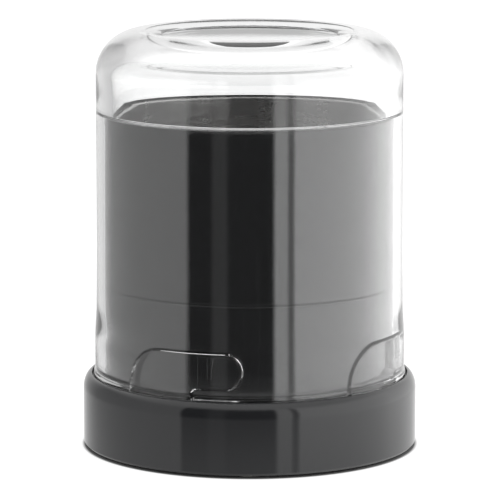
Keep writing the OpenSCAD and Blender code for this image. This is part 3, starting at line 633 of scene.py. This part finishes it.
def rounded_profile(corners, steps=5):
    """Corners (radius, height, fillet) joined by straight lines; each fillet is a parabola."""
    corner = np.array(corners, float)
    before = np.roll(corner, 1, axis=0)[:, :2] - corner[:, :2]
    after = np.roll(corner, -1, axis=0)[:, :2] - corner[:, :2]
    before /= np.linalg.norm(before, axis=1)[:, None] + 1e-12
    after /= np.linalg.norm(after, axis=1)[:, None] + 1e-12
    share = np.linspace(0, 1, steps)[:, None, None]
    start = corner[:, :2] + before * corner[:, 2:]
    end = corner[:, :2] + after * corner[:, 2:]
    curve = (1 - share) ** 2 * start + 2 * share * (1 - share) * corner[:, :2] + share ** 2 * end
    points = curve.transpose(1, 0, 2).reshape(-1, 2)
    keep = np.ones(len(points), bool)
    keep[1:] = np.linalg.norm(np.diff(points, axis=0), axis=1) > 1e-4
    return points[keep]


def arc_points(centre, radius, first, last, steps=24, tall=None):
    """Points of an ellipse's arc: centre plus (radius x cosine, height x sine) of the angle."""
    angle = np.radians(np.linspace(first, last, steps))
    tall = radius if tall is None else tall
    return np.column_stack([centre[0] + radius * np.cos(angle), centre[1] + tall * np.sin(angle)])


def ease_points(first, last, steps=10):
    """Points whose radius eases between two ends as a half cosine, while the height is even."""
    share = np.linspace(0, 1, steps)
    radius = first[0] + (last[0] - first[0]) * (1 - np.cos(np.pi * share)) / 2
    return np.column_stack([radius, first[1] + (last[1] - first[1]) * share])


def even_azimuths(columns):
    """Azimuths in degrees, evenly spaced round a whole turn."""
    return np.arange(columns) * 360.0 / columns


def turned_piece(name, radii, heights, azimuths):
    """Grid of rows (profile) and columns (azimuth): x = r sin a, y = -r cos a, in millimetres.

    The last row joins the first, which closes the skin. Rows of radius 0 merge into a pole.
    """
    angle = np.radians(azimuths)
    radii = np.broadcast_to(np.asarray(radii, float), (len(radii), len(angle)))
    heights = np.broadcast_to(np.asarray(heights, float), radii.shape)
    points = np.stack([radii * np.sin(angle), -radii * np.cos(angle), heights], axis=-1)
    rows, columns = radii.shape
    index = np.arange(rows * columns).reshape(rows, columns)
    index = np.vstack([index, index[:1]])
    right = np.roll(index, -1, axis=1)
    faces = np.stack([index[:-1], right[:-1], right[1:], index[1:]], axis=-1).reshape(-1, 4)
    mesh = bpy.data.meshes.new(name)
    mesh.from_pydata((points.reshape(-1, 3) * MM).tolist(), [], faces.tolist())
    clean = bmesh.new()
    clean.from_mesh(mesh)
    bmesh.ops.remove_doubles(clean, verts=clean.verts, dist=1e-7)
    bmesh.ops.recalc_face_normals(clean, faces=clean.faces)
    if clean.calc_volume(signed=True) < 0:
        bmesh.ops.reverse_faces(clean, faces=clean.faces)
    clean.to_mesh(mesh)
    clean.free()
    mesh.shade_smooth()
    mesh.set_sharp_from_angle(angle=math.radians(50))
    piece = bpy.data.objects.new(name, mesh)
    bpy.context.scene.collection.objects.link(piece)
    print(name, len(mesh.vertices), "points", len(mesh.polygons), "faces")
    return piece


def dress(piece, body, node_name, slot_name):
    """The piece rides on its body, stands for its CAD node, and takes its slot's finish."""
    piece.data.materials.append(finish[slot_name])
    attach(piece, body)
    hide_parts(node_name)


print("makers of turned pieces ready")

# %% [markdown]
# ## The bayonet's pockets
# Four pockets are hollowed into the cover's wall. Each has an open mouth with one big round
# corner, and a lane that ends in a half circle over a finger of plastic. A lug on the body
# enters the mouth and slides along the lane. The outline could be drawn as a curve and cut out,
# but here it is a distance on the unrolled wall, in arc length and height. The distance is
# negative inside the outline, so a smooth step of it makes a hollow with softly rounded edges.

# %% Outlines on the unrolled wall
POCKET_R = 45.4
LUG_AZ = -19.5
MOUTH_AZ = LUG_AZ - 15.6
LANE_END_AZ = LUG_AZ + 10.25
FINGER_AZ = LUG_AZ - 2.5
POCKET_BASE = 21.5
POCKET_TOP = 35.5
FINGER_TOP = 24.8
MOUTH_CORNER = POCKET_TOP - POCKET_BASE - 2.0
FAR_INSIDE = -99.0


def arc_length(azimuth):
    """Millimetres along the pocket's wall for that azimuth in degrees."""
    return np.radians(azimuth) * POCKET_R


def nearest_copy(azimuths):
    """The same azimuths, turned by whole quarters into the first pocket's quarter."""
    return (np.asarray(azimuths) + 75.0) % 90.0 - 75.0


def pocket_distance(azimuths, heights):
    """Distance to the pocket's outline: the round-cornered mouth and lane, less the finger."""
    along = arc_length(nearest_copy(azimuths))[None, :]
    height = np.asarray(heights)[:, None]
    mouth = arc_length(MOUTH_AZ)
    end = arc_length(LANE_END_AZ)
    end_r = (POCKET_TOP - FINGER_TOP) / 2
    tip_r = (FINGER_TOP - POCKET_BASE) / 2
    tip = arc_length(FINGER_AZ) + tip_r
    corner_z = POCKET_TOP - MOUTH_CORNER
    left = mouth - MOUTH_CORNER - along + 0 * height
    corner = np.hypot(along - mouth, height - corner_z) - MOUTH_CORNER
    top = height - POCKET_TOP + 0 * along
    low_part = np.where(along < mouth, left, FAR_INSIDE)
    high_part = np.where(along < mouth, corner, top)
    outside = np.maximum(np.where(height < corner_z, low_part, high_part), top)
    round_end = np.hypot(along - end, height - POCKET_TOP + end_r) - end_r
    outside = np.maximum(outside, np.where(along > end, round_end, FAR_INSIDE))
    finger = np.hypot(np.minimum(along - tip, 0), height - POCKET_BASE - tip_r) - tip_r
    return np.maximum(outside, -finger)


def soft_step(distance, width):
    """1 well inside the outline, 0 well outside, with a smooth cubic over the width."""
    share = np.clip(0.5 - distance / width, 0, 1)
    return share * share * (3 - 2 * share)


print("pocket", round(arc_length(1.0), 3), "mm a degree")

# %% [markdown]
# ## Clear cover, its shape
# The cover is a tube that grips the drum, with a thick dome on it. Inside there is a ledge just
# above the rim. Outside the wall swells slightly where the pockets are, and the top has a round
# shallow recess. A modeller could lathe it and cut the pockets with a Boolean, but a grid whose
# inner radius follows the pocket outline keeps one clean skin, and light bends through it
# without the creases that a cut leaves. The columns stand closer where the outline turns.

# %% Clear cover
RIM_Z = 100.0
SKIRT_IN = 43.7
SKIRT_DRAFT = 0.3
SKIRT_IN_TOP = SKIRT_IN - SKIRT_DRAFT
SKIRT_BASE = 21.7
LIP_R = 46.9
BAND_R = 46.45
COVER_R = 45.75
POCKET_EDGE = 0.55
LEDGE_Z = RIM_Z + 0.7
DOME_IN = 40.65
DOME_Z = 112.0
DOME_CURVE = 12.9
CEILING_Z = 119.6
CEILING_R = 31.0


def make_clear_cover():
    """One closed skin: bottom edge, outer wall, dome, recess, ceiling, ledge and inner wall."""
    fine = np.concatenate([np.arange(-52, -38, 0.35), np.arange(-24.5, -20.5, 0.28),
                           np.arange(-14.5, -1.5, 0.25)])
    coarse = np.arange(-72, 18, 2.0)
    quarter = np.unique(np.round(np.concatenate([fine, coarse]), 2))
    azimuths = (quarter[None, :] + np.arange(4)[:, None] * 90.0).reshape(-1)
    lip = rounded_profile([
        (SKIRT_IN, 24.0, 0), (SKIRT_IN, SKIRT_BASE, 0.25), (LIP_R, SKIRT_BASE, 0.35),
        (LIP_R, 22.5, 0.3), (BAND_R, 23.6, 0.5), (BAND_R, 30.0, 0)])[2:-1]
    outer = np.vstack([
        lip, ease_points((BAND_R, 32.5), (45.95, 43.5), 11), [(COVER_R, 60), (COVER_R, 85)],
        arc_points((COVER_R - DOME_CURVE, DOME_Z), DOME_CURVE, 0, 88, 26),
        ease_points((30.9, 124.8), (26.0, 123.4), 14), [(22, 123.3), (12, 123.15), (0, 123.1)]])
    inner = np.vstack([
        [(0, CEILING_Z), (8, CEILING_Z), (16, CEILING_Z), (23.8, CEILING_Z - 0.1)],
        arc_points((CEILING_R, 111.5), 10.0, 88, 0, 20, 8.0), [(DOME_IN + 0.2, 106.0)],
        rounded_profile([(DOME_IN + 0.2, 106.0, 0), (DOME_IN, LEDGE_Z, 0.3),
                         (SKIRT_IN_TOP, LEDGE_Z, 0.3), (SKIRT_IN_TOP, 90.0, 0)])[1:-1]])
    skirt = np.concatenate([np.array([98.0, 90.0, 70.0, 50.0, 42.0, 38.0, 36.6]),
                            np.arange(36.2, 21.75, -0.3)])
    rows = np.vstack([outer, inner])
    radii = np.repeat(rows[:, :1], len(azimuths), axis=1)
    heights = np.repeat(rows[:, 1:], len(azimuths), axis=1)
    hollow = soft_step(pocket_distance(azimuths, skirt), POCKET_EDGE)
    straight_z = POCKET_TOP + 2.5
    above = np.clip((skirt - straight_z) / (RIM_Z - straight_z), 0, 1)[:, None]
    wall = SKIRT_IN - SKIRT_DRAFT * above
    low_radii = wall + (POCKET_R - wall) * hollow
    radii = np.vstack([radii, low_radii])
    heights = np.vstack([heights, np.repeat(skirt[:, None], len(azimuths), axis=1)])
    return turned_piece("clear_cover_shell", radii, heights, azimuths)


dress(make_clear_cover(), "cover", "clear_cover", "clear_cover")

# %% [markdown]
# ## Drum
# The drum is a moulded tube, polished outside, with a chamfer round its rim and a step inside
# for the steel cup's lip. It is turned from one closed profile, so every corner can have the
# small radius that a mould gives, and those radii catch the light. Below the seam a thinner
# collar of the tube reaches down inside the base's own tube.

# %% Drum
SEAM_Z = 49.5
DRUM_R = 43.4
DRUM_TOP_R = 43.1
BORE_R = 41.2
SEAT_R = 41.95
SEAT_Z = 98.7
SHELF_R = 37.1
SHELF_Z = 62.9
COLLAR_R = 40.9
COLLAR_IN = 39.1


def make_drum():
    """The upper tube's profile, from the seam up the outside, over the rim and down inside."""
    profile = rounded_profile([
        (DRUM_R - 0.4, SEAM_Z, 0.1), (DRUM_R, SEAM_Z + 0.4, 0.15),
        (DRUM_TOP_R, RIM_Z - 1.4, 0.5), (42.65, RIM_Z, 0.2),
        (SEAT_R, RIM_Z, 0.15), (SEAT_R, SEAT_Z, 0.1), (BORE_R, SEAT_Z, 0.1), (BORE_R, SHELF_Z, 0.1),
        (SHELF_R, SHELF_Z, 0.2), (SHELF_R, SHELF_Z - 2.0, 0.2), (BORE_R, 60.4, 0.2),
        (BORE_R, SEAM_Z + 2.0, 0.2), (COLLAR_IN, SEAM_Z + 1.0, 0.2),
        (COLLAR_IN, SEAM_Z - 4.0, 0.3), (COLLAR_R, SEAM_Z - 4.0, 0.3), (COLLAR_R, SEAM_Z, 0.05)])
    return turned_piece("drum_tube", profile[:, :1], profile[:, 1:], even_azimuths(256))


dress(make_drum(), "root", "cup_housing", "dark_gloss")

# %% [markdown]
# ## Steel cup
# The cup is spun from half-millimetre stainless sheet: flat floor, a generous round corner, and
# a lip rolled outwards that sits just below the rim. The sheet's two faces are one profile, and
# the inner face is walked down and the outer face back up, half a millimetre apart.

# %% Steel cup
SHEET_T = 0.5
CUP_R = 40.5
CUP_Z = 66.0
CUP_CORNER = 6.0
HOLE_R = 6.4
LIP_ROLL = 1.0
LIP_Z = RIM_Z - 0.5


def make_steel_cup():
    """Inner face and outer face of the sheet, joined at the lip and at the shaft's hole."""
    under_z = CUP_Z - SHEET_T
    corner_at = (CUP_R - CUP_CORNER, CUP_Z + CUP_CORNER)
    roll_at = (CUP_R + LIP_ROLL, LIP_Z - LIP_ROLL)
    edge_at = (roll_at[0] + 0.15, LIP_Z - SHEET_T / 2)
    profile = np.vstack([
        [(HOLE_R, CUP_Z), (20.0, CUP_Z), (33.0, CUP_Z)],
        arc_points(corner_at, CUP_CORNER, -90, 0, 20), [(CUP_R, 85.0)],
        arc_points(roll_at, LIP_ROLL, 180, 90, 14), [(roll_at[0] + 0.2, LIP_Z)],
        arc_points(edge_at, SHEET_T / 2, 90, -90, 9)[1:-1], [(roll_at[0], LIP_Z - SHEET_T)],
        arc_points(roll_at, LIP_ROLL - SHEET_T, 90, 180, 8), [(CUP_R + SHEET_T, 85.0)],
        arc_points(corner_at, CUP_CORNER + SHEET_T, 0, -90, 20),
        [(33.0, under_z), (20.0, under_z), (HOLE_R, under_z)]])
    return turned_piece("steel_cup", profile[:, :1], profile[:, 1:], even_azimuths(256))


dress(make_steel_cup(), "root", "grinding_cup", "cup_steel")
